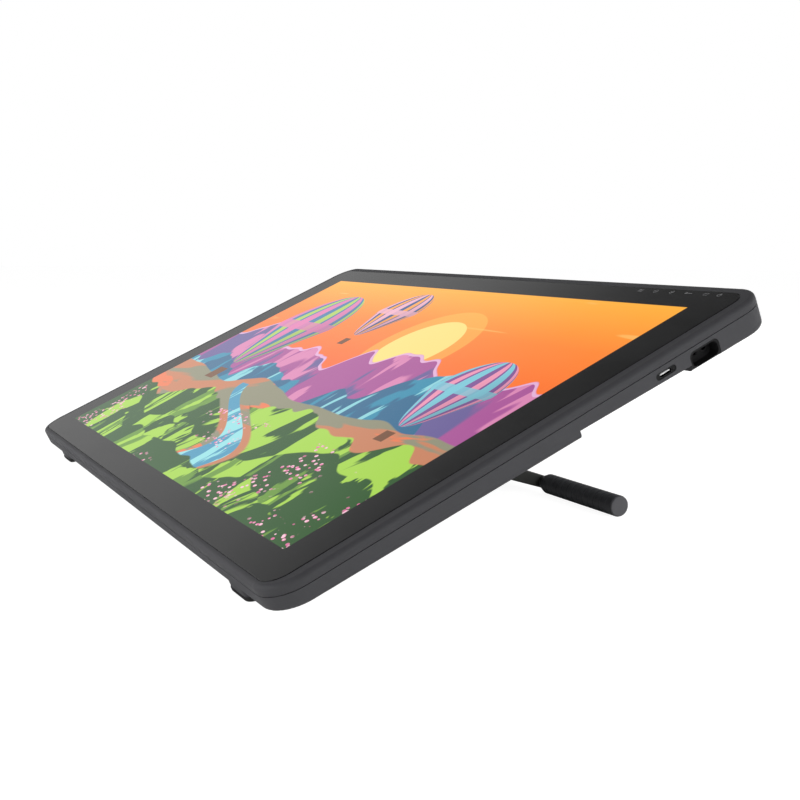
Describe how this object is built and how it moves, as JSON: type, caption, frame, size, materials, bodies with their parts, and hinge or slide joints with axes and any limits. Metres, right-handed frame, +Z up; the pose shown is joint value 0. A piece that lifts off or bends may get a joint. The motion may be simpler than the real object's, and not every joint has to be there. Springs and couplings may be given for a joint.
{
  "type": "pen display tablet",
  "caption": "Graphics tablet with a large built-in screen under flat glass, touch keys at the top right, and a fold-out leg with a ribbed foot bar that a release lever frees.",
  "frame": {"origin": "on the table under the middle of the part's footprint, with the stand as in the picture", "axes": "+X to the right of the user along the long side, +Y away from the user, +Z up; the glass leans back by 24.7 degrees"},
  "size_m": [0.5482, 0.2979, 0.1525],
  "materials": {
    "cover_glass": "etched, anti-glare",
    "black_tape": "matt foam tape",
    "optical_bond": "clear cured gel",
    "lcd": "polarised panel",
    "white_film": "white optical film",
    "clear_acrylic": "polished",
    "circuit_board": "solder mask",
    "module_frame": "moulded",
    "sheet_steel": "zinc coated",
    "chassis": "pressed sheet",
    "frame_plastic": "finely textured",
    "cover_plastic": "finely textured",
    "liner_plastic": "matt",
    "port_metal": "nickel plated",
    "port_plastic": "moulded",
    "ribbon_film": "film",
    "steel_screws": "zinc plated",
    "black_screws": "black oxide",
    "foot_rubber": "matt",
    "brass": "knurled",
    "stand_metal": "matt powder coat",
    "shaft_steel": "ground",
    "leg_panel": "finely textured",
    "bearing_bronze": "plain",
    "brake_metal": "turned",
    "spring_steel": "hardened",
    "cap_plastic": "moulded",
    "sleeve_rubber": "ribbed",
    "disc_plastic": "satin",
    "lever_metal": "satin powder coat",
    "grip_rubber": "soft"
  },
  "bodies": {
    "display": {"cover_glass": "cover_glass", "edge_tape": "black_tape", "optical_bond": "optical_bond", "lcd_panel": "lcd", "diffuser_sheets": "white_film", "reflector_sheet": "white_film", "light_guide": "clear_acrylic", "light_bar": "circuit_board", "digitizer_board": "circuit_board", "touch_key_board": "circuit_board", "main_board": "circuit_board", "pen_board": "circuit_board", "backlight_surround": "module_frame", "backlight_tray": "sheet_steel", "shield_plate": "sheet_steel", "chassis_plate": "chassis", "front_frame": "frame_plastic", "back_cover": "cover_plastic", "port_liner": "liner_plastic", "port_collar": "liner_plastic", "side_port_shell": "port_metal", "niche_port_shell": "port_metal", "port_tongues": "port_plastic", "power_socket": "port_plastic", "display_ribbon": "ribbon_film", "digitizer_ribbon": "ribbon_film", "link_ribbon": "ribbon_film", "key_ribbon": "ribbon_film", "chassis_screws": "steel_screws", "board_screws": "steel_screws", "board_standoffs": "steel_screws", "case_screws": "black_screws", "stand_screws": "black_screws", "front_foot_left": "foot_rubber", "front_foot_right": "foot_rubber", "threaded_inserts": "brass", "stand_bracket": "stand_metal", "hinge_shaft": "shaft_steel", "lever_spring_left": "spring_steel", "lever_spring_right": "spring_steel"},
    "leg": {"leg_frame": "stand_metal", "leg_panel": "leg_panel", "leg_panel_screws": "black_screws", "hinge_bush_left": "bearing_bronze", "hinge_bush_right": "bearing_bronze", "brake_housing_left": "brake_metal", "brake_housing_right": "brake_metal", "brake_spring_left": "spring_steel", "brake_spring_right": "spring_steel", "hinge_cap_left": "cap_plastic", "hinge_cap_right": "cap_plastic", "foot_rod": "shaft_steel", "foot_core_left": "cap_plastic", "foot_core_right": "cap_plastic", "foot_sleeve_left": "sleeve_rubber", "foot_sleeve_right": "sleeve_rubber", "foot_cap_left": "disc_plastic", "foot_cap_right": "disc_plastic"},
    "release_lever": {"release_lever": "lever_metal", "lever_grip": "grip_rubber"}
  },
  "joints": [
    {"name": "leg_tilt", "type": "hinge", "parent": "display", "child": "leg", "pos_m": [0, -0.00725, 0.05284], "axis": [-1, 0, 0], "range_deg": [-40, 96]},
    {"name": "lever_release", "type": "hinge", "parent": "display", "child": "release_lever", "pos_m": [0, -0.00725, 0.05284], "axis": [-1, 0, 0], "range_deg": [0, 12], "stiffness_Nm_per_rad": 3, "springref_deg": -5.73}
  ]
}
